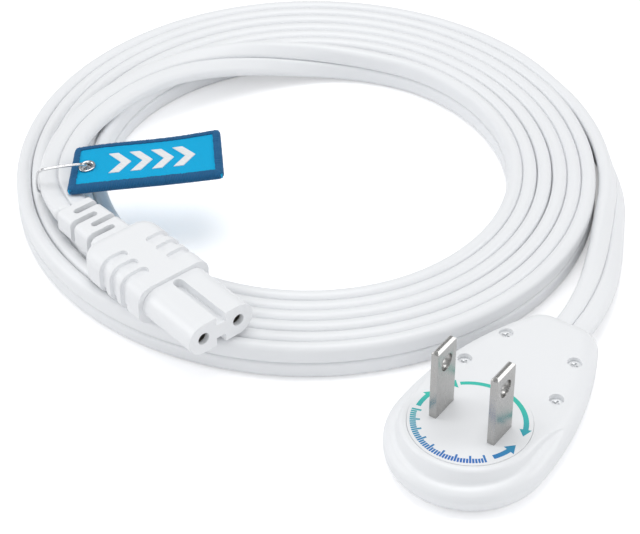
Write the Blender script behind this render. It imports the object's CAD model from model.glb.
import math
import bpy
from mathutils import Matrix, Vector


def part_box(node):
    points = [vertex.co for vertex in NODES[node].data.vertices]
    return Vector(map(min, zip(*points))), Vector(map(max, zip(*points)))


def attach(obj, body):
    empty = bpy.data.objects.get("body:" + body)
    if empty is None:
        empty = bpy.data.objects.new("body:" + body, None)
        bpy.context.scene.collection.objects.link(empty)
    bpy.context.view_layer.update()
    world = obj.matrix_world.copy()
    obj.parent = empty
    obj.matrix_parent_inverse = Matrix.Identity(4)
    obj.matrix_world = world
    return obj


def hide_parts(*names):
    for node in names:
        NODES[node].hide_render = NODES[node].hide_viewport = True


bl_info = {
    "name": "Flat plug and coiled cord",
    "version": (1, 0, 0),
    "blender": (4, 5, 0),
    "location": "3D View > Sidebar > Flat plug",
    "description": "A flat plug with a turning blade disc, its coiled flat cord, connector and tag",
    "category": "Object",
}

import bmesh
import bpy
from mathutils import Matrix, Vector

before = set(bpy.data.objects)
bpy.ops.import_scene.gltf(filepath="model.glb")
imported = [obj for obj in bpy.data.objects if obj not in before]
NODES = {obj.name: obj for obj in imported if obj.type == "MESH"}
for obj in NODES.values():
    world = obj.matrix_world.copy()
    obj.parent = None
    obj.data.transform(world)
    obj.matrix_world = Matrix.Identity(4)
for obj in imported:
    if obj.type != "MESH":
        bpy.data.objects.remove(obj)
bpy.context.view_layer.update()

# The cord's route in metres, with how far the flat cord has tipped over there, in degrees.
# At 0 it lies flat, and at 90 it stands on edge.

PLUG_LEAD = [
    (0.0, 0.031, 0.0046, 0), (0.0, 0.0413, 0.0046, 0), (-0.0022, 0.0528, 0.0042, 8),
    (-0.006, 0.063, 0.0035, 28), (-0.0109, 0.0737, 0.0036, 44), (-0.0164, 0.0853, 0.00395, 58),
    (-0.0245, 0.0949, 0.00405, 75), (-0.0331, 0.1019, 0.00405, 86),
    (-0.04165, 0.10705, 0.004, 90),
]
CONNECTOR_LEAD = [
    (-0.0845, 0.0946, 0.004, -90), (-0.0935, 0.0905, 0.0044, -78),
    (-0.1009, 0.08425, 0.0057, -60), (-0.1073, 0.0772, 0.0073, -42),
    (-0.1128, 0.0692, 0.0087, -24), (-0.1173, 0.0602, 0.0095, -8),
    (-0.1202, 0.0503, 0.0096, 0), (-0.1209, 0.0399, 0.0096, 0), (-0.1196, 0.0303, 0.01, 0),
    (-0.1165, 0.0219, 0.0105, 0), (-0.1119, 0.0142, 0.0112, 0), (-0.106, 0.008, 0.0119, 0),
    (-0.0989, 0.0043, 0.0124, 0),
]

# The coil's middle, the direction it starts in, and its steps, in degrees

COIL_MIDDLE = Vector((-0.0732, 0.0524, 0.004))
COIL_START = 60
COIL_STEP = 15
COIL_STEPS = 147

# The print: radius, first and last degrees, thickness at both ends, head's width and length

ARROWS = (
    (0.0105, 132.0, 11.0, 0.00085, 0.00105, 0.0023, 0.0019),
    (0.0104, 191.0, 162.0, 0.00095, 0.00095, 0.0024, 0.0018),
    (0.0104, -34.0, -4.0, 0.00105, 0.00105, 0.0026, 0.0020),
)
BACK_HEAD = (0.0105, 134.0, 143.0, 0.00085, 0.00085, 0.0023, 0.0014)
TICK_RADIUS = 0.0113
TICK_LENGTH = 0.0019
TICK_WIDTH = 0.0004
TICK_FIRST = math.radians(-163.0)
TICK_LAST = math.radians(-43.0)

# Where the tag lies on the connector's lead, how far its eyelet is from its end, and how it is
# pulled out of square: the end's slant, how far that reaches, and the width's share and growth

TAG_TURN = math.radians(39.6)
TAG = (Matrix.Translation((-0.10602, 0.01266, 0.01424)) @ Matrix.Rotation(TAG_TURN, 4, "Z")
       @ Matrix.Rotation(math.radians(-5.0), 4, "Y") @ Matrix.Rotation(math.radians(3.0), 4, "X"))
EYELET = 0.0032
TAG_SLANT = 0.13
TAG_SLANT_REACH = 0.011
TAG_NARROW = 0.955
TAG_GROWTH = 2.9
SIGN_PLACES = (0.0078, 0.0123, 0.0168, 0.0213)

# One rolled rim of the eyelet, as (radius, height) points

EYELET_ROLL = ((0.00114, 0.0002), (0.00120, 0.0), (0.00155, -0.0002), (0.00186, 0.0),
               (0.0017, 0.00012), (0.00138, 0.0003))

# The ring: half its length and width, its corners, its turns and their rise, its wire, the
# height of its lowest run, and how it is turned

RING_LONG = 0.0054
RING_SHORT = 0.0052
RING_BEND = 0.0024
RING_TURNS = 1.92
RING_RISE = 0.00044
RING_WIRE = 0.00021
RING_LOW = 0.00845
RING_TURN = (Matrix.Rotation(math.radians(48.0), 4, "Z")
             @ Matrix.Rotation(math.radians(115.0), 4, "X"))

# CAD copies: below the first angle faces merge, above the second an edge is rounded, and above
# the third it is shaded sharp

FLAT_ANGLE = math.radians(0.2)
HARD_ANGLE = math.radians(32.0)
SHARP_ANGLE = math.radians(38.0)

# Lamps, as name, place, size, watts and colour, and the points that lamps and camera aim at

LAMPS = (
    ("top", (-0.16, 0.14, 1.10), 0.8, 4.7, (1.0, 1.0, 1.0)),
    ("right", (0.80, 0.62, 0.50), 0.7, 2.9, (1.0, 1.0, 1.0)),
    ("left", (-0.95, -0.45, 0.55), 0.7, 2.9, (1.0, 1.0, 1.0)),
    ("front", (0.30, -0.85, 0.60), 0.9, 1.9, (0.94, 0.97, 1.0)),
)
LAMP_AIM = Vector((-0.0600, 0.0400, 0.0))
CAMERA_AIM = Vector((-0.05586, 0.0313, 0.0))
SENSOR = 36.0
WORLD_LIGHT = 0.46
FLOOR_LIFT = 0.30


# Settings

class FLATPLUG_PG_cord(bpy.types.PropertyGroup):
    """The flat two-core cord"""
    width: bpy.props.FloatProperty(
        name="Width", description="Cord across both cores", default=0.008, min=0.004, unit="LENGTH")
    thickness: bpy.props.FloatProperty(
        name="Thickness", description="Cord over one core", default=0.0031, min=0.001,
        unit="LENGTH")
    edge: bpy.props.FloatProperty(
        name="Edge radius", description="Rounding of the cord's edges", default=0.0014,
        unit="LENGTH")
    groove: bpy.props.FloatProperty(
        name="Groove depth", description="Tear groove between the cores", default=0.0008,
        unit="LENGTH")
    pitch: bpy.props.FloatProperty(
        name="Turn pitch", description="From one turn of the coil to the next", default=0.00315,
        unit="LENGTH")
    colour: bpy.props.FloatVectorProperty(
        name="Sheath colour", description="Colour of the cord's sheath", subtype="COLOR", size=3,
        default=(0.855, 0.865, 0.88), min=0, max=1)


class FLATPLUG_PG_plastic(bpy.types.PropertyGroup):
    """The moulded pieces"""
    housing: bpy.props.FloatVectorProperty(
        name="Housing colour", description="Colour of the shells and the disc", subtype="COLOR",
        size=3, default=(0.865, 0.875, 0.89), min=0, max=1)
    grip: bpy.props.FloatVectorProperty(
        name="Grip colour", description="Colour of the connector's grip", subtype="COLOR", size=3,
        default=(0.86, 0.87, 0.885), min=0, max=1)
    edge: bpy.props.FloatProperty(
        name="Edge rounding", description="Rounding of the moulded edges", default=0.00013,
        unit="LENGTH")


class FLATPLUG_PG_print(bpy.types.PropertyGroup):
    """The turning arrows and ticks printed on the disc"""
    ink: bpy.props.FloatProperty(
        name="Ink height", description="How far the ink stands on the disc", default=0.00002,
        unit="LENGTH")
    first: bpy.props.FloatVectorProperty(
        name="First colour", description="Ink at one side of the disc", subtype="COLOR", size=3,
        default=(0.025, 0.53, 0.42), min=0, max=1)
    last: bpy.props.FloatVectorProperty(
        name="Last colour", description="Ink at the other side of the disc", subtype="COLOR",
        size=3, default=(0.010, 0.075, 0.50), min=0, max=1)
    ticks: bpy.props.IntProperty(
        name="Ticks", description="Ticks between the arrows", default=41, min=2)


class FLATPLUG_PG_tag(bpy.types.PropertyGroup):
    """The woven tag and its ring"""
    length: bpy.props.FloatProperty(
        name="Length", description="Tag without its border", default=0.0313, unit="LENGTH")
    width: bpy.props.FloatProperty(
        name="Width", description="Tag without its border", default=0.0141, unit="LENGTH")
    thickness: bpy.props.FloatProperty(
        name="Thickness", description="Both layers of the fabric", default=0.0016,
        unit="LENGTH")
    stitch: bpy.props.FloatProperty(
        name="Stitch spacing", description="From one border stitch to the next",
        default=0.00033, unit="LENGTH")
    fabric: bpy.props.FloatVectorProperty(
        name="Fabric colour", description="Colour of the tag's weave", subtype="COLOR", size=3,
        default=(0.006, 0.47, 0.86), min=0, max=1)
    border: bpy.props.FloatVectorProperty(
        name="Border colour", description="Colour of the border's thread", subtype="COLOR",
        size=3, default=(0.006, 0.12, 0.29), min=0, max=1)


class FLATPLUG_PG_stage(bpy.types.PropertyGroup):
    """Floor, lamps and camera"""
    lens: bpy.props.FloatProperty(
        name="Lens", description="Focal length", default=126.3, unit="CAMERA")
    distance: bpy.props.FloatProperty(
        name="Distance", description="Camera to the aimed point", default=0.470, unit="LENGTH")
    azimuth: bpy.props.FloatProperty(
        name="Azimuth", description="Camera's direction round the object",
        default=math.radians(34.8), subtype="ANGLE")
    elevation: bpy.props.FloatProperty(
        name="Elevation", description="Camera's height over the horizon",
        default=math.radians(39.28), subtype="ANGLE")
    floor: bpy.props.FloatVectorProperty(
        name="Floor colour", description="Colour of the floor", subtype="COLOR", size=3,
        default=(0.94, 0.94, 0.95), min=0, max=1)


# Making pieces

def link_object(name, data):
    """Put an object with this data in the scene."""
    piece = bpy.data.objects.new(name, data)
    bpy.context.scene.collection.objects.link(piece)
    return piece


def mesh_from(name, points, faces, smooth=True):
    """A mesh of these points and faces."""
    mesh = bpy.data.meshes.new(name)
    mesh.from_pydata([tuple(p) for p in points], [], faces)
    mesh.validate()
    mesh.update()
    mesh.polygons.foreach_set("use_smooth", [smooth] * len(mesh.polygons))
    return mesh


def finished(piece, body, material, nodes=()):
    """Give a piece its finish, its body and the CAD nodes that it stands for."""
    piece.data.materials.clear()
    piece.data.materials.append(material)
    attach(piece, body)
    if nodes:
        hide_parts(*nodes)


def dress_node(name, material):
    """Keep a CAD node as it is, and give it a finish."""
    mesh = NODES[name].data
    if not mesh.materials:
        mesh.materials.append(material)
    for index in range(len(mesh.materials)):
        mesh.materials[index] = material


def softened_copy(source, name, width, body, material, segments=2):
    """Stand a copy in for a CAD node, with merged points and its hard edges a little rounded."""
    mesh = NODES[source].data.copy()
    mesh.name = name
    bm = bmesh.new()
    bm.from_mesh(mesh)
    bmesh.ops.remove_doubles(bm, verts=bm.verts, dist=1e-6)
    bmesh.ops.dissolve_limit(bm, angle_limit=FLAT_ANGLE, verts=bm.verts, edges=bm.edges)
    hard = [e for e in bm.edges if len(e.link_faces) == 2
            and e.calc_face_angle(0.0) > HARD_ANGLE]
    bmesh.ops.bevel(bm, geom=hard, offset=width, offset_type="OFFSET", segments=segments,
                    profile=0.5, affect="EDGES", clamp_overlap=True)
    bmesh.ops.triangulate(bm, faces=[f for f in bm.faces if len(f.verts) > 4])
    bm.to_mesh(mesh)
    bm.free()
    if "custom_normal" in mesh.attributes:
        mesh.attributes.remove(mesh.attributes["custom_normal"])
    mesh.polygons.foreach_set("use_smooth", [True] * len(mesh.polygons))
    mesh.set_sharp_from_angle(angle=SHARP_ANGLE)
    piece = link_object(name, mesh)
    weighted = piece.modifiers.new("Weighted", "WEIGHTED_NORMAL")
    weighted.keep_sharp = True
    finished(piece, body, material, [source])


def tube_mesh(name, path, section):
    """Sweep a section of (across, up) points along points given with their frames."""
    count = len(section)
    points = []
    for spot, across, up in path:
        points += [spot + across * x + up * y for x, y in section]
    faces = []
    last = (len(path) - 1) * count
    for here in range(0, last, count):
        for k in range(count):
            n = (k + 1) % count
            faces.append((here + k, here + n, here + count + n, here + count + k))
    faces.append(tuple(reversed(range(count))))
    faces.append(tuple(last + k for k in range(count)))
    mesh = mesh_from(name, points, faces)
    outward(mesh)
    return mesh


def outward(mesh):
    """Turn every face outwards."""
    bm = bmesh.new()
    bm.from_mesh(mesh)
    bmesh.ops.recalc_face_normals(bm, faces=bm.faces)
    bm.to_mesh(mesh)
    bm.free()


def lathe_mesh(name, profile, steps=48):
    """Turn a closed outline of (radius, height) points about the Z axis."""
    count = len(profile)
    points, faces = [], []
    for step in range(steps):
        turn = 2 * math.pi * step / steps
        points += [Vector((r * math.cos(turn), r * math.sin(turn), z)) for r, z in profile]
    for step in range(steps):
        here, there = step * count, (step + 1) % steps * count
        for k in range(count):
            n = (k + 1) % count
            faces.append((here + k, there + k, there + n, here + n))
    mesh = mesh_from(name, points, faces)
    outward(mesh)
    return mesh


def slab_mesh(name, outlines, low, high):
    """Flat pieces of the given outlines, each a list of (x, y), from low to high."""
    points, faces = [], []
    for outline in outlines:
        first = len(points)
        count = len(outline)
        points += [(x, y, low) for x, y in outline] + [(x, y, high) for x, y in outline]
        faces.append(tuple(first + k for k in reversed(range(count))))
        faces.append(tuple(first + count + k for k in range(count)))
        for k in range(count):
            n = (k + 1) % count
            faces.append((first + k, first + n, first + count + n, first + count + k))
    mesh = mesh_from(name, points, faces, False)
    outward(mesh)
    return mesh


# Materials

def fill(tree, made, inputs):
    """Link a node's inputs where a socket is given, and set the others."""
    for key, value in inputs.items():
        if isinstance(value, bpy.types.NodeSocket):
            tree.links.new(value, made.inputs[key])
        else:
            made.inputs[key].default_value = value


def node(tree, kind, inputs=None, **values):
    """Add a shader or geometry node, set its values, and fill or link its inputs."""
    made = tree.nodes.new(kind)
    for key, value in values.items():
        setattr(made, key, value)
    fill(tree, made, inputs or {})
    return made


def maths(tree, operation, one, other=0.0):
    """A number worked out from one or two others."""
    return node(tree, "ShaderNodeMath", {0: one, 1: other}, operation=operation).outputs[0]


def relief(tree, strength, distance, height):
    """Small relief, for a shader's normal."""
    return node(tree, "ShaderNodeBump", {"Strength": strength, "Distance": distance,
                                         "Height": height}).outputs[0]


def coordinates(tree, kind):
    """Where a point is: on the object, or on its UV map."""
    return node(tree, "ShaderNodeTexCoord").outputs[kind]


def mapped(tree, vector, scale, turn=0.0):
    """A place turned about Z and stretched."""
    return node(tree, "ShaderNodeMapping", {"Vector": vector, "Rotation": (0.0, 0.0, turn),
                                            "Scale": scale}).outputs[0]


def seen_straight(tree):
    """1 for what the camera sees, straight or through glass, and 0 for other rays."""
    ray = node(tree, "ShaderNodeLightPath").outputs
    return maths(tree, "MAXIMUM", ray["Is Camera Ray"], ray["Is Transmission Ray"])


def new_finish(name):
    """A material with a principled shader, its tree and that shader."""
    material = bpy.data.materials.new(name)
    material.use_nodes = True
    tree = material.node_tree
    tree.nodes.clear()
    shader = node(tree, "ShaderNodeBsdfPrincipled")
    node(tree, "ShaderNodeOutputMaterial", {"Surface": shader.outputs[0]})
    return material, tree, shader


def tone(colour, factor):
    """A colour made darker or lighter."""
    return (*[min(1.0, c * factor) for c in colour[:3]], 1.0)


def remap(tree, value, low, high):
    """Carry a 0 to 1 value onto another range."""
    return node(tree, "ShaderNodeMapRange", {"Value": value, "To Min": low,
                                             "To Max": high}).outputs[0]


def mixed(tree, factor, one, other):
    """A colour between two others."""
    return node(tree, "ShaderNodeMix", {0: factor, 6: one, 7: other},
                data_type="RGBA").outputs[2]


def mottled(tree, value, low, high, colour, dark, light):
    """A colour that runs from a darker to a lighter tone of its own."""
    return mixed(tree, remap(tree, value, low, high), tone(colour, dark), tone(colour, light))


def noise(tree, vector, scale, detail, rough=0.5):
    """Noise from 0 to 1 over a place."""
    return node(tree, "ShaderNodeTexNoise", {"Vector": vector, "Scale": scale, "Detail": detail,
                                             "Roughness": rough}).outputs[0]


def plastic_finish(name, colour, roughness, grain_size, grain_depth):
    """Moulded plastic: faint mottling, a fine spark texture and slightly uneven gloss."""
    material, tree, shader = new_finish(name)
    where = coordinates(tree, "Object")
    cloud = noise(tree, where, 60.0, 4.0)
    grain = noise(tree, where, 1.0 / grain_size, 2.0, 0.6)
    fine = noise(tree, where, 420.0, 5.0, 0.65)
    shade = mottled(tree, cloud, 0.2, 0.8, colour, 0.975, 1.015)
    fill(tree, shader, {
        "Base Color": mixed(tree, remap(tree, fine, 0.0, 0.25), shade, tone(colour, 0.955)),
        "Roughness": remap(tree, fine, roughness - 0.06, roughness + 0.08),
        "Normal": relief(tree, 0.35, grain_depth, grain), "IOR": 1.5})
    return material


def sheath_finish(colour):
    """Cord sheath: satin, with the faint lengthwise lines that drawing it leaves."""
    material, tree, shader = new_finish("cord_sheath")
    lines = noise(tree, mapped(tree, coordinates(tree, "UV"), (90.0, 9.0, 1.0)), 1.0, 4.0, 0.6)
    space = coordinates(tree, "Object")
    cloud = noise(tree, space, 45.0, 4.0)
    grain = noise(tree, space, 5200.0, 2.0)
    height = maths(tree, "ADD", lines, remap(tree, grain, 0.0, 0.4))
    fill(tree, shader, {
        "Base Color": mottled(tree, cloud, 0.2, 0.8, colour, 0.97, 1.02),
        "Roughness": remap(tree, lines, 0.30, 0.46),
        "Normal": relief(tree, 0.3, 0.00002, height), "IOR": 1.5})
    return material


def metal_finish(name, colour, roughness, brushed_along=None):
    """Metal with brushed lines along one axis, or none, and a little uneven shine."""
    material, tree, shader = new_finish(name)
    where = coordinates(tree, "Object")
    scale = [5200.0, 5200.0, 5200.0]
    if brushed_along is not None:
        scale[brushed_along] = 90.0
    lines = noise(tree, mapped(tree, where, scale), 1.0, 3.0, 0.6)
    cloud = noise(tree, where, 320.0, 5.0, 0.6)
    wear = 0.05
    fill(tree, shader, {
        "Base Color": mottled(tree, cloud, 0.1, 0.9, colour, 0.90, 1.06),
        "Roughness": maths(tree, "ADD", remap(tree, lines, -wear, wear),
                           remap(tree, cloud, roughness - wear, roughness + wear)),
        "Normal": relief(tree, 0.25, 0.00001, lines), "Metallic": 1.0})
    return material


def ink_finish(settings):
    """Printed ink that runs from one colour to the other across the disc."""
    material, tree, shader = new_finish("disc_ink")
    where = coordinates(tree, "Object")
    across = node(tree, "ShaderNodeVectorMath", {0: where, 1: (0.371, -0.928, 0.0)},
                  operation="DOT_PRODUCT")
    share = node(tree, "ShaderNodeMapRange", {"Value": across.outputs["Value"],
                                              "From Min": -0.0056, "From Max": 0.013})
    colour = mixed(tree, share.outputs[0], tone(settings.first, 1.0), tone(settings.last, 1.0))
    speckle = noise(tree, where, 2600.0, 3.0)
    fill(tree, shader, {
        "Base Color": mixed(tree, remap(tree, speckle, 0.0, 0.08), colour, (0.4, 0.7, 0.8, 1.0)),
        "Roughness": remap(tree, speckle, 0.35, 0.55)})
    return material


def weave_finish(name, colour, threads):
    """Fabric woven from fine threads, on the piece's own UV map, which is in metres."""
    material, tree, shader = new_finish(name)
    where = coordinates(tree, "UV")
    spread = mapped(tree, where, (threads, threads, 1.0))
    warp, weft = [node(tree, "ShaderNodeTexWave", {
        "Vector": spread, "Scale": 1.0, "Distortion": 0.4, "Detail": 1.0},
        bands_direction=way).outputs[1] for way in "XY"]
    checks = node(tree, "ShaderNodeTexChecker", {"Vector": spread, "Scale": 0.62}).outputs[1]
    cloth = node(tree, "ShaderNodeMix", {0: checks, 2: warp, 3: weft}).outputs[0]
    slub = noise(tree, mapped(tree, where, (900.0, 5000.0, 1.0)), 1.0, 3.0)
    shade = mottled(tree, cloth, 0.0, 1.0, colour, 0.78, 1.12)
    fill(tree, shader, {
        "Base Color": mixed(tree, remap(tree, slub, 0.0, 0.35), shade, tone(colour, 1.3)),
        "Normal": relief(tree, 0.7, 0.00006, maths(tree, "ADD", cloth, slub)),
        "Roughness": 0.85, "Specular IOR Level": 0.12, "Sheen Weight": 0.04,
        "Sheen Roughness": 0.5})
    return material


def thread_finish(name, colour, along):
    """Embroidery thread: fine twisted strands that catch the light."""
    material, tree, shader = new_finish(name)
    turned = mapped(tree, coordinates(tree, "Object"), (700.0, 9000.0, 3000.0), along)
    strands = noise(tree, turned, 1.0, 3.0, 0.6)
    fill(tree, shader, {
        "Base Color": mixed(tree, strands, tone(colour, 0.66), tone(colour, 1.2)),
        "Normal": relief(tree, 0.6, 0.00005, strands),
        "Roughness": 0.6, "Specular IOR Level": 0.3, "Sheen Weight": 0.1})
    return material


def floor_finish(colour):
    """A pale floor that shows the object's shadow, a little lifted for the camera."""
    material, tree, shader = new_finish("floor_paper")
    fill(tree, shader, {"Base Color": (*colour, 1.0), "Roughness": 0.9,
                        "Specular IOR Level": 0.0})
    strength = maths(tree, "MULTIPLY", seen_straight(tree), FLOOR_LIFT)
    lift = node(tree, "ShaderNodeEmission", {"Color": (1, 1, 1, 1), "Strength": strength})
    both = node(tree, "ShaderNodeAddShader", {0: shader.outputs[0], 1: lift.outputs[0]})
    out = next(n for n in tree.nodes if n.type == "OUTPUT_MATERIAL")
    tree.links.new(both.outputs[0], out.inputs["Surface"])
    return material


# Geometry trees

def new_tree(name, inputs):
    """A geometry tree that takes a mesh and the named numbers: tree, given sockets, output."""
    tree = bpy.data.node_groups.new(name, "GeometryNodeTree")
    face = tree.interface
    face.new_socket("Geometry", in_out="INPUT", socket_type="NodeSocketGeometry")
    for key, value in inputs.items():
        kind = "NodeSocketInt" if isinstance(value, int) else "NodeSocketFloat"
        face.new_socket(key, in_out="INPUT", socket_type=kind).default_value = value
    face.new_socket("Geometry", in_out="OUTPUT", socket_type="NodeSocketGeometry")
    return tree, node(tree, "NodeGroupInput").outputs, node(tree, "NodeGroupOutput")


def triple(tree, *parts):
    """A vector made of up to three numbers."""
    return node(tree, "ShaderNodeCombineXYZ", dict(enumerate(parts))).outputs[0]


def spread_out(tree, points, inputs, material):
    """Instances on points, made real and given their material."""
    placed = node(tree, "GeometryNodeInstanceOnPoints", {"Points": points, **inputs}).outputs[0]
    real = node(tree, "GeometryNodeRealizeInstances", {0: placed}).outputs[0]
    return node(tree, "GeometryNodeSetMaterial", {"Geometry": real,
                                                  "Material": material}).outputs[0]


def baked(name, tree, values, base=None):
    """Run a geometry tree on a mesh, and return the result as a plain mesh."""
    holder = link_object(f"{name}_maker", base or bpy.data.meshes.new(f"{name}_base"))
    modifier = holder.modifiers.new("Maker", "NODES")
    modifier.node_group = tree
    sockets = {item.name: item.identifier for item in tree.interface.items_tree
               if item.item_type == "SOCKET" and item.in_out == "INPUT"}
    for key, value in values.items():
        modifier[sockets[key]] = value
    bpy.context.view_layer.update()
    ready = holder.evaluated_get(bpy.context.evaluated_depsgraph_get())
    mesh = bpy.data.meshes.new_from_object(ready)
    mesh.name = name
    holder.modifiers.remove(modifier)
    bpy.data.objects.remove(holder)
    return mesh


# Cord

def cord_section(cord):
    """The flat cord's outline: two cores with a tear groove between them on both faces."""
    half_w, half_h, edge = cord.width / 2, cord.thickness / 2, cord.edge
    groove_width = 0.00016
    flats = [0.0, 0.02, 0.05, 0.09, 0.15, 0.25, 0.45, 0.72, 1.0]
    flats = [-share for share in flats[:0:-1]] + flats
    reach = half_w - edge
    top = []
    for share in flats:
        x = share * reach
        dip = cord.groove * math.exp(-abs(x) / groove_width)
        crown = 0.00006 * (1 - (2 * abs(share) - 1) ** 2)
        top.append((x, half_h - dip + crown))
    outline = list(reversed(top))
    turns = [105, 125, 145, 165, 180, 195, 215, 235, 255]
    outline += [(-reach + edge * math.cos(math.radians(a)),
                 (half_h - edge) * (1 if a < 180 else -1 if a > 180 else 0)
                 + edge * math.sin(math.radians(a))) for a in turns]
    outline += [(x, -y) for x, y in top]
    outline += [(-x, -y) for x, y in outline[len(top):len(top) + len(turns)]]
    return outline


def coil_points(cord):
    """The coil's turns, a little uneven, as points of the cord's own spline."""
    points = []
    draw = 1.0 / (0.75 + 0.25 * math.cos(math.radians(COIL_STEP)))
    first = math.hypot(PLUG_LEAD[-1][0] - COIL_MIDDLE.x, PLUG_LEAD[-1][1] - COIL_MIDDLE.y)
    for step in range(1, COIL_STEPS):
        turn = math.radians(COIL_START + COIL_STEP * step)
        radius = first - cord.pitch * COIL_STEP * step / 360.0
        radius = (radius + 0.00004 * math.sin(turn * 1.37) * math.sin(turn * 0.31)) * draw
        lift = 0.00012 * (1 + math.sin(turn * 0.83 + 1.0) * math.sin(turn * 2.17))
        points.append((COIL_MIDDLE.x + radius * math.cos(turn),
                       COIL_MIDDLE.y + radius * math.sin(turn), COIL_MIDDLE.z + lift,
                       90 + 2.0 * math.sin(turn * 1.71)))
    return points


def cord_line(route):
    """Points along the route's smooth spline, each with its tip, from an unbevelled curve."""
    curve = bpy.data.curves.new("cord_route", "CURVE")
    curve.dimensions = "3D"
    spline = curve.splines.new("NURBS")
    spline.points.add(len(route) - 1)
    for point, (x, y, z, _) in zip(spline.points, route):
        point.co = (x, y, z, 1.0)
    spline.order_u = 3
    spline.use_endpoint_u = True
    spline.resolution_u = 8
    holder = link_object("cord_route", curve)
    bpy.context.view_layer.update()
    sampled = bpy.data.meshes.new_from_object(holder)
    spots = [v.co.copy() for v in sampled.vertices]
    bpy.data.objects.remove(holder)
    bpy.data.meshes.remove(sampled)
    last = len(route) - 1
    tips = []
    for index in range(len(spots)):
        along = index / (len(spots) - 1) * (last - 1)
        at = 2 * along if along < 0.5 else along + 0.5
        if along > last - 1.5:
            at = last - 2 * (last - 1 - along)
        low = min(int(at), last - 1)
        tips.append(route[low][3] + (route[low + 1][3] - route[low][3]) * (at - low))
    for _ in range(3):
        tips = [tips[0]] + [(a + 2 * b + c) / 4 for a, b, c in zip(tips, tips[1:], tips[2:])] + [
            tips[-1]]
    return spots, tips


class FLATPLUG_OT_cord(bpy.types.Operator):
    """Make the flat cord: the lead at the plug, the coil and the lead at the connector"""
    bl_idname = "flatplug.cord"
    bl_label = "Cord"

    def execute(self, context):
        cord = context.scene.flatplug_cord
        route = PLUG_LEAD + coil_points(cord) + [
            (x, y, z, tip + 180) for x, y, z, tip in CONNECTOR_LEAD]
        spots, tips = cord_line(route)
        path = []
        for index, spot in enumerate(spots):
            ahead = (spots[min(index + 1, len(spots) - 1)] - spots[max(index - 1, 0)]).normalized()
            right = ahead.cross(Vector((0, 0, 1))).normalized()
            above = right.cross(ahead)
            lean = math.radians(tips[index])
            path.append((spot, right * math.cos(lean) - above * math.sin(lean),
                         above * math.cos(lean) + right * math.sin(lean)))
        section = cord_section(cord)
        mesh = tube_mesh("cord", path, section)
        sheath = mesh.uv_layers.new(name="sheath")
        count = len(section)
        gone = [0.0]
        for one, other in zip(spots, spots[1:]):
            gone.append(gone[-1] + (other - one).length)
        for loop in mesh.loops:
            sheath.data[loop.index].uv = (gone[loop.vertex_index // count],
                                          loop.vertex_index % count / count)
        piece = link_object("cord", mesh)
        finished(piece, "housing", sheath_finish(cord.colour),
                 ["plug_lead", "cord_coil", "connector_lead"])
        context.scene["cord_path"] = [c for spot in spots for c in spot]
        context.scene["cord_length"] = gone[-1]
        return {"FINISHED"}


def declare_cord():
    """Say what the cord is, and what is on it."""
    del bpy.context.scene["cord_path"]
    del bpy.context.scene["cord_length"]


# Plug

class FLATPLUG_OT_housing(bpy.types.Operator):
    """Make the plug's two shells and finish its screws"""
    bl_idname = "flatplug.housing"
    bl_label = "Housing"

    def execute(self, context):
        plastic = context.scene.flatplug_plastic
        shell = plastic_finish("shell_plastic", plastic.housing, 0.36, 0.00022, 0.000012)
        for source in ("rear_shell", "front_shell"):
            softened_copy(source, f"{source}_soft", plastic.edge, "housing", shell)
        zinc = metal_finish("screw_zinc", (0.86, 0.87, 0.88), 0.5)
        softened_copy("housing_screws", "screws", 0.00005, "housing", zinc)
        return {"FINISHED"}


class FLATPLUG_OT_disc(bpy.types.Operator):
    """Make the turning disc with its two blades"""
    bl_idname = "flatplug.disc"
    bl_label = "Disc and blades"

    def execute(self, context):
        plastic = context.scene.flatplug_plastic
        white = plastic_finish("disc_plastic", plastic.housing, 0.33, 0.0003, 0.00001)
        softened_copy("rotor_disc", "disc_soft", plastic.edge, "disc", white)
        nickel = metal_finish("blade_nickel", (0.47, 0.465, 0.455), 0.27, brushed_along=2)
        for source in ("blade_left", "blade_right"):
            softened_copy(source, f"{source}_soft", 0.00012, "disc", nickel)
        return {"FINISHED"}


def arc_arrow(radius, first, last, thin, thick, head, head_length):
    """A curved arrow from first to last degrees, growing from thin to thick."""
    stop = last - math.copysign(math.degrees(head_length / radius), last - first)
    steps = 40
    inner, outer = [], []
    for k in range(steps + 1):
        share = k / steps
        turn = math.radians(first + (stop - first) * share)
        half = (thin + (thick - thin) * share) / 2
        inner.append(((radius - half) * math.cos(turn), (radius - half) * math.sin(turn)))
        outer.append(((radius + half) * math.cos(turn), (radius + half) * math.sin(turn)))
    shaft = outer + inner[::-1]
    turn, tip = math.radians(stop), math.radians(last)
    point = [((radius + head / 2) * math.cos(turn), (radius + head / 2) * math.sin(turn)),
             (radius * math.cos(tip), radius * math.sin(tip)),
             ((radius - head / 2) * math.cos(turn), (radius - head / 2) * math.sin(turn))]
    return [shaft, point]


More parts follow.
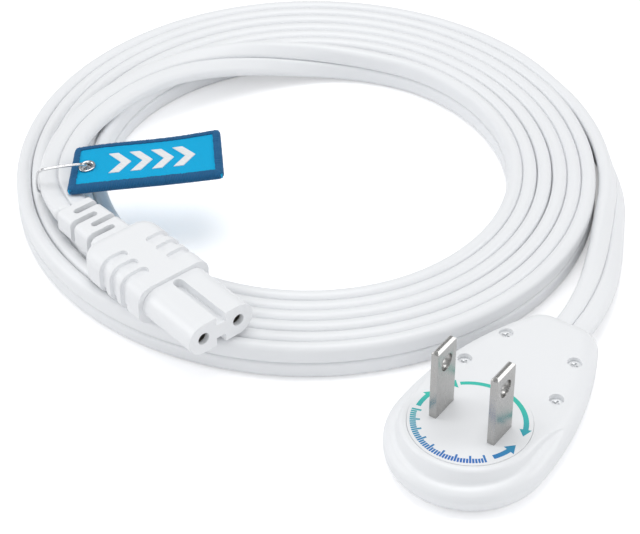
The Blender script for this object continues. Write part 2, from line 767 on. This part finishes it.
def ticks_tree(material):
    """Ticks along an arc: every fifth one longer, each a flat bar."""
    tree, given, out = new_tree("rim_ticks", {
        "Count": 41, "Radius": 0.0105, "First": 0.0, "Last": 1.0, "Length": 0.0011,
        "Width": 0.00028, "Height": 0.00002, "Seed": 1})
    line = node(tree, "GeometryNodeMeshLine", {"Count": given["Count"],
                                               "Offset": (0.0, 0.0, 0.0)})
    index = node(tree, "GeometryNodeInputIndex").outputs[0]
    share = maths(tree, "DIVIDE", index, maths(tree, "SUBTRACT", given["Count"], 1.0))
    turn = remap(tree, share, given["First"], given["Last"])
    whole = node(tree, "FunctionNodeCompare", {0: maths(tree, "MODULO", index, 5.0), 1: 0.5},
                 data_type="FLOAT", operation="LESS_THAN").outputs[0]
    reach = node(tree, "GeometryNodeSwitch", {0: whole, 1: 0.6, 2: 1.0},
                 input_type="FLOAT").outputs[0]
    uneven = node(tree, "FunctionNodeRandomValue", {2: 0.97, 3: 1.03,
                                                    "Seed": given["Seed"]}).outputs[1]
    length = maths(tree, "MULTIPLY", reach, uneven)
    half = maths(tree, "MULTIPLY", maths(tree, "MULTIPLY", length, given["Length"]), -0.5)
    middle = maths(tree, "ADD", given["Radius"], half)
    place = triple(tree, maths(tree, "MULTIPLY", middle, maths(tree, "COSINE", turn)),
                   maths(tree, "MULTIPLY", middle, maths(tree, "SINE", turn)))
    points = node(tree, "GeometryNodeSetPosition", {"Geometry": line.outputs[0],
                                                    "Position": place}).outputs[0]
    size = triple(tree, given["Length"], given["Width"], given["Height"])
    bar = node(tree, "GeometryNodeMeshCube", {"Size": size}).outputs[0]
    bars = spread_out(tree, points, {
        "Instance": bar, "Rotation": triple(tree, 0.0, 0.0, turn),
        "Scale": triple(tree, length, 1.0, 1.0)}, material)
    tree.links.new(bars, out.inputs[0])
    return tree


class FLATPLUG_OT_print(bpy.types.Operator):
    """Print the turning arrows and the ticks on the disc"""
    bl_idname = "flatplug.disc_print"
    bl_label = "Disc print"

    def execute(self, context):
        settings = context.scene.flatplug_print
        ink = ink_finish(settings)
        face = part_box("rotor_disc")[1].z
        outlines = [outline for arrow in ARROWS for outline in arc_arrow(*arrow)]
        outlines.append(arc_arrow(*BACK_HEAD)[1])
        mesh = slab_mesh("disc_arrows", outlines, face - settings.ink, face + settings.ink)
        finished(link_object("disc_arrows", mesh), "disc", ink)
        mesh = baked("disc_ticks", ticks_tree(ink), {
            "Count": settings.ticks, "Radius": TICK_RADIUS, "First": TICK_FIRST,
            "Last": TICK_LAST, "Height": 2 * settings.ink, "Length": TICK_LENGTH,
            "Width": TICK_WIDTH})
        mesh.transform(Matrix.Translation((0, 0, face)))
        finished(link_object("disc_ticks", mesh), "disc", ink)
        return {"FINISHED"}


# Connector

class FLATPLUG_OT_connector(bpy.types.Operator):
    """Make the connector's grip, nose and contacts"""
    bl_idname = "flatplug.connector"
    bl_label = "Connector"

    def execute(self, context):
        plastic = context.scene.flatplug_plastic
        soft = plastic_finish("grip_plastic", plastic.grip, 0.42, 0.0003, 0.000014)
        softened_copy("connector_grip", "connector_grip_soft", 0.00018, "housing", soft,
                      segments=3)
        hard = plastic_finish("nose_plastic", plastic.housing, 0.30, 0.0003, 0.00001)
        softened_copy("connector_nose", "connector_nose_soft", 0.00016, "housing", hard,
                      segments=3)
        tin = metal_finish("contact_tin", (0.72, 0.70, 0.64), 0.3)
        for side in ("left", "right"):
            dress_node(f"socket_contact_{side}", tin)
        return {"FINISHED"}


# Tag

def tag_outline(settings, inset, corner=0.0008, steps=6):
    """The tag's outline in its own frame, from a corner round, as (x, y) points."""
    left, right = inset, settings.length - inset
    half = settings.width / 2 - inset
    corners = ((right, -half, 1, -1, -90), (right, half, 1, 1, 0), (left, half, -1, 1, 90),
               (left, -half, -1, -1, 180))
    outline = []
    for x, y, sx, sy, first in corners:
        for k in range(steps + 1):
            turn = math.radians(first + 90.0 * k / steps)
            outline.append((x - sx * corner + corner * math.cos(turn),
                            y - sy * corner + corner * math.sin(turn)))
    return outline


def tag_sag(x, y):
    """How the fabric waves a little along and across the tag."""
    return 0.00018 * math.sin(x * 190.0 + 0.6) * (1 + 0.5 * math.sin(y * 260.0)) - 0.0001


def on_tag(mesh):
    """Pull the tag a little out of square towards its ring, and lay it on the lead."""
    for vertex in mesh.vertices:
        x, y = vertex.co.x, vertex.co.y
        vertex.co.z += tag_sag(x, y)
        vertex.co.x += TAG_SLANT * y * max(0.0, 1.0 - x / TAG_SLANT_REACH)
        vertex.co.y *= TAG_NARROW + TAG_GROWTH * x
    mesh.transform(TAG)
    mesh.update()
    return mesh


def fabric_mesh(settings, columns=78, rows=34, hole=0.00145):
    """Two layers of fabric, full in the middle and pressed thin at the edges and eyelet."""
    points, faces, place = [], [], []
    half_t = settings.thickness / 2
    for side in (1, -1):
        for r in range(rows + 1):
            for c in range(columns + 1):
                x = settings.length * c / columns
                y = settings.width * (r / rows - 0.5)
                edge = min(x, settings.length - x, settings.width / 2 - abs(y))
                press = 1 - 0.38 * math.exp(-(edge / 0.0011) ** 2)
                eye = math.hypot(x - EYELET, y)
                press *= 1 - 0.25 * math.exp(-(max(0.0, eye - 0.0016) / 0.0008) ** 2)
                points.append(Vector((x, y, half_t + side * half_t * press)))
                place.append((x, y))
    layer = (rows + 1) * (columns + 1)

    def spot(side, r, c):
        return side * layer + r * (columns + 1) + c

    def over_eyelet(r, c):
        x = settings.length * (c + 0.5) / columns
        y = settings.width * ((r + 0.5) / rows - 0.5)
        return math.hypot(x - EYELET, y) < hole

    for r in range(rows):
        for c in range(columns):
            if over_eyelet(r, c):
                continue
            faces.append((spot(0, r, c), spot(0, r, c + 1), spot(0, r + 1, c + 1),
                          spot(0, r + 1, c)))
            faces.append((spot(1, r, c), spot(1, r + 1, c), spot(1, r + 1, c + 1),
                          spot(1, r, c + 1)))
    used = {}
    for face in faces:
        for one, other in zip(face, face[1:] + face[:1]):
            used[(one, other)] = used.get((one, other), 0) + 1
    for one, other in list(used):
        if one < layer and (other, one) not in used:
            faces.append((other, one, one + layer, other + layer))
    mesh = mesh_from("tag_fabric", points, faces)
    outward(mesh)
    weave = mesh.uv_layers.new(name="weave")
    for loop in mesh.loops:
        weave.data[loop.index].uv = place[loop.vertex_index]
    return mesh


def stitch_tree(material):
    """Overlock stitches: a thread that wraps the edge, again and again round an outline."""
    tree, given, out = new_tree("border_stitches", {
        "Spacing": 0.00033, "Reach": 0.00125, "Thickness": 0.0016, "Thread": 0.00019,
        "Slant": 0.0002, "Seed": 4})
    line = node(tree, "GeometryNodeMeshToCurve", {"Mesh": given["Geometry"]}).outputs[0]
    even = node(tree, "GeometryNodeResampleCurve", {"Curve": line, "Length": given["Spacing"]},
                mode="LENGTH").outputs[0]
    tangent = node(tree, "GeometryNodeInputTangent").outputs[0]
    heading = node(tree, "FunctionNodeAlignEulerToVector", {"Vector": tangent}, axis="X",
                   pivot_axis="Z").outputs[0]

    def times(key, factor):
        return maths(tree, "MULTIPLY", given[key], factor)

    past_edge = times("Reach", -0.62)
    start = triple(tree, times("Slant", -1.0), given["Reach"], given["Thickness"])
    high = triple(tree, 0.0, past_edge, times("Thickness", 1.22))
    deep = triple(tree, 0.0, past_edge, times("Thickness", -0.22))
    end = triple(tree, given["Slant"], given["Reach"], 0.0)
    wrap = node(tree, "GeometryNodeCurvePrimitiveBezierSegment", {
        "Resolution": 9, "Start": start, "Start Handle": high, "End Handle": deep,
        "End": end}).outputs[0]
    ring = node(tree, "GeometryNodeCurvePrimitiveCircle", {
        "Resolution": 6, "Radius": given["Thread"]}).outputs[0]
    thread = node(tree, "GeometryNodeCurveToMesh", {"Curve": wrap, "Profile Curve": ring,
                                                    "Fill Caps": True}).outputs[0]
    uneven = node(tree, "FunctionNodeRandomValue", {0: (0.93, 0.93, 0.97), 1: (1.07, 1.05, 1.03),
                                                    "Seed": given["Seed"]},
                  data_type="FLOAT_VECTOR").outputs[0]
    stitches = spread_out(tree, even, {"Instance": thread, "Rotation": heading,
                                       "Scale": uneven}, material)
    smooth = node(tree, "GeometryNodeSetShadeSmooth", {"Geometry": stitches})
    tree.links.new(smooth.outputs[0], out.inputs[0])
    return tree


def chevron(x, half, thick, lean):
    """One arrow-like sign, pointing along the tag."""
    return [(x, -half), (x + thick, -half), (x + thick + lean, 0.0), (x + thick, half),
            (x, half), (x + lean, 0.0)]


def ring_path(steps=160):
    """The split ring's wire: an oval wound round nearly twice, seen along its axis."""
    path = []
    for k in range(steps + 1):
        turn = 2 * math.pi * RING_TURNS * k / steps
        c, s = math.cos(turn), math.sin(turn)
        x = math.copysign((RING_LONG - RING_BEND) * min(1.0, abs(c) * 2.2), c) + RING_BEND * c
        y = math.copysign((RING_SHORT - RING_BEND) * min(1.0, abs(s) * 2.2), s) + RING_BEND * s
        path.append(Vector((x, y, RING_RISE * (k / steps - 0.5))))
    return path


def ring_stand():
    """Where the ring stands: round the connector's lead and up through the eyelet."""
    out, up = RING_TURN.col[0].xyz, RING_TURN.col[1].xyz
    eyelet = TAG @ Vector((EYELET, 0, 0.0008))
    middle = eyelet - out * RING_LONG + up * ((RING_LOW - eyelet.z) / up.z + RING_SHORT)
    return Matrix.Translation(middle) @ RING_TURN


def wire_mesh(name, spots, radius, sides=12):
    """A round wire along these points."""
    path = []
    for index, spot in enumerate(spots):
        ahead = (spots[min(index + 1, len(spots) - 1)] - spots[max(index - 1, 0)]).normalized()
        across = ahead.cross(Vector((0, 0, 1))).normalized()
        path.append((spot, across, across.cross(ahead)))
    section = [(radius * math.cos(2 * math.pi * k / sides),
                radius * math.sin(2 * math.pi * k / sides)) for k in range(sides)]
    return tube_mesh(name, path, section)


class FLATPLUG_OT_tag(bpy.types.Operator):
    """Make the woven tag with its stitched border, signs, eyelet and ring"""
    bl_idname = "flatplug.tag"
    bl_label = "Tag and ring"

    def execute(self, context):
        tag = context.scene.flatplug_tag
        fabric = link_object("tag_fabric", on_tag(fabric_mesh(tag)))
        finished(fabric, "housing", weave_finish("tag_weave", tag.fabric, 4200.0),
                 ["tag_body"])
        thread = thread_finish("border_thread", tag.border, TAG_TURN)
        outline = tag_outline(tag, 0.0001)
        edge = bpy.data.meshes.new("tag_edge")
        edge.from_pydata([(x, y, 0.0) for x, y in outline],
                         [(k, (k + 1) % len(outline)) for k in range(len(outline))], [])
        mesh = baked("tag_stitches", stitch_tree(thread), {
            "Spacing": tag.stitch, "Thickness": tag.thickness}, edge)
        finished(link_object("tag_stitches", on_tag(mesh)), "housing", thread,
                 ["tag_border"])
        signs = [chevron(x, half=0.0031, thick=0.0021, lean=0.0026) for x in SIGN_PLACES]
        mesh = slab_mesh("tag_signs", signs, tag.thickness * 0.8, tag.thickness + 0.00016)
        finished(link_object("tag_signs", on_tag(mesh)), "housing",
                 thread_finish("sign_thread", (0.86, 0.88, 0.90), TAG_TURN))
        low, high = -0.0002, tag.thickness + 0.00012
        rolled = [(r, low + z) for r, z in EYELET_ROLL]
        rolled += [(r, high - z) for r, z in reversed(EYELET_ROLL)]
        mesh = lathe_mesh("tag_eyelet_rolled", rolled)
        mesh.transform(Matrix.Translation((EYELET, 0, 0)))
        nickel = metal_finish("ring_nickel", (0.70, 0.70, 0.71), 0.16)
        piece = link_object("tag_eyelet_rolled", on_tag(mesh))
        piece.modifiers.new("Smooth", "SUBSURF").levels = 1
        piece.modifiers["Smooth"].render_levels = 1
        finished(piece, "housing", nickel, ["tag_eyelet"])
        mesh = wire_mesh("ring", ring_path(), RING_WIRE)
        mesh.transform(ring_stand())
        finished(link_object("ring", mesh), "housing", nickel, ["split_ring"])
        return {"FINISHED"}


# Inner pieces

class FLATPLUG_OT_inside(bpy.types.Operator):
    """Finish the pieces inside the housing"""
    bl_idname = "flatplug.inside"
    bl_label = "Inner pieces"

    def execute(self, context):
        brass = metal_finish("contact_brass", (0.78, 0.58, 0.28), 0.3)
        zinc = metal_finish("clamp_zinc", (0.66, 0.67, 0.69), 0.35)
        nylon = plastic_finish("carrier_nylon", (0.72, 0.71, 0.66), 0.5, 0.0002, 0.00001)
        core = plastic_finish("wire_cover", (0.80, 0.80, 0.80), 0.45, 0.0002, 0.00001)
        for name in ("slip_ring_outer", "slip_ring_inner", "blade_rivets", "brush_spring_outer",
                     "brush_spring_inner", "crimp_left", "crimp_right"):
            dress_node(name, brass)
        for name in ("contact_carrier", "cord_clamp"):
            dress_node(name, nylon)
        for name in ("wire_left", "wire_right"):
            dress_node(name, core)
        dress_node("clamp_screws", zinc)
        return {"FINISHED"}


# Stage

class FLATPLUG_OT_stage(bpy.types.Operator):
    """Make the floor, the lamps, the world and the camera"""
    bl_idname = "flatplug.stage"
    bl_label = "Stage"

    def execute(self, context):
        stage = context.scene.flatplug_stage
        scene = context.scene
        scene.view_settings.view_transform = "Standard"
        floor = link_object("floor", mesh_from("floor", [
            (-4, -4, 0), (4, -4, 0), (4, 4, 0), (-4, 4, 0)], [(0, 1, 2, 3)], False))
        floor.data.materials.append(floor_finish(stage.floor))
        self.make_world(scene)
        for name, place, size, power, colour in LAMPS:
            lamp = bpy.data.lights.new(name, "AREA")
            lamp.shape = "DISK"
            lamp.size = size
            lamp.energy = power
            lamp.color = colour
            holder = link_object(name, lamp)
            holder.location = place
            holder.rotation_euler = (LAMP_AIM - Vector(place)).to_track_quat("-Z", "Y").to_euler()
        self.make_camera(scene, stage)
        return {"FINISHED"}

    def make_world(self, scene):
        """White where the camera looks past the object, and dimmer where it gives light."""
        world = bpy.data.worlds.new("studio")
        scene.world = world
        world.use_nodes = True
        tree = world.node_tree
        tree.nodes.clear()
        plain = node(tree, "ShaderNodeBackground", {"Color": (0.98, 0.99, 1.0, 1.0),
                                                    "Strength": WORLD_LIGHT}).outputs[0]
        white = node(tree, "ShaderNodeBackground", {"Color": (1, 1, 1, 1),
                                                    "Strength": 1.0}).outputs[0]
        both = node(tree, "ShaderNodeMixShader", {0: seen_straight(tree), 1: plain,
                                                  2: white}).outputs[0]
        node(tree, "ShaderNodeOutputWorld", {"Surface": both})

    def make_camera(self, scene, stage):
        """The photo's view."""
        data = bpy.data.cameras.new("camera")
        data.lens = stage.lens
        data.sensor_width = SENSOR
        data.clip_start, data.clip_end = 0.01, 20.0
        camera = link_object("camera", data)
        a, e = stage.azimuth, stage.elevation
        look = Vector((-math.sin(a) * math.cos(e), math.cos(a) * math.cos(e), -math.sin(e)))
        camera.location = CAMERA_AIM - look * stage.distance
        camera.rotation_euler = look.to_track_quat("-Z", "Y").to_euler()
        scene.camera = camera


# Panel and start

OPERATORS = (
    FLATPLUG_OT_stage, FLATPLUG_OT_cord, FLATPLUG_OT_housing, FLATPLUG_OT_disc,
    FLATPLUG_OT_print, FLATPLUG_OT_connector, FLATPLUG_OT_tag, FLATPLUG_OT_inside,
)
SETTINGS = (
    ("flatplug_cord", FLATPLUG_PG_cord), ("flatplug_plastic", FLATPLUG_PG_plastic),
    ("flatplug_print", FLATPLUG_PG_print), ("flatplug_tag", FLATPLUG_PG_tag),
    ("flatplug_stage", FLATPLUG_PG_stage),
)


class FLATPLUG_PT_main(bpy.types.Panel):
    """Lists the plug's pieces and their settings"""
    bl_label = "Flat plug"
    bl_idname = "FLATPLUG_PT_main"
    bl_space_type = "VIEW_3D"
    bl_region_type = "UI"
    bl_category = "Flat plug"

    def draw(self, context):
        for operator in OPERATORS:
            self.layout.operator(operator.bl_idname)
        for name, group in SETTINGS:
            box = self.layout.box()
            box.label(text=group.__doc__)
            for key in group.__annotations__:
                box.prop(getattr(context.scene, name), key)


def register():
    for name, group in SETTINGS:
        bpy.utils.register_class(group)
        setattr(bpy.types.Scene, name, bpy.props.PointerProperty(type=group))
    for item in (*OPERATORS, FLATPLUG_PT_main):
        bpy.utils.register_class(item)


def unregister():
    for item in (FLATPLUG_PT_main, *reversed(OPERATORS)):
        bpy.utils.unregister_class(item)
    for name, group in reversed(SETTINGS):
        delattr(bpy.types.Scene, name)
        bpy.utils.unregister_class(group)


def main():
    register()
    for operator in OPERATORS:
        family, name = operator.bl_idname.split(".")
        getattr(getattr(bpy.ops, family), name)()
    declare_cord()


if __name__ == "__main__":
    main()
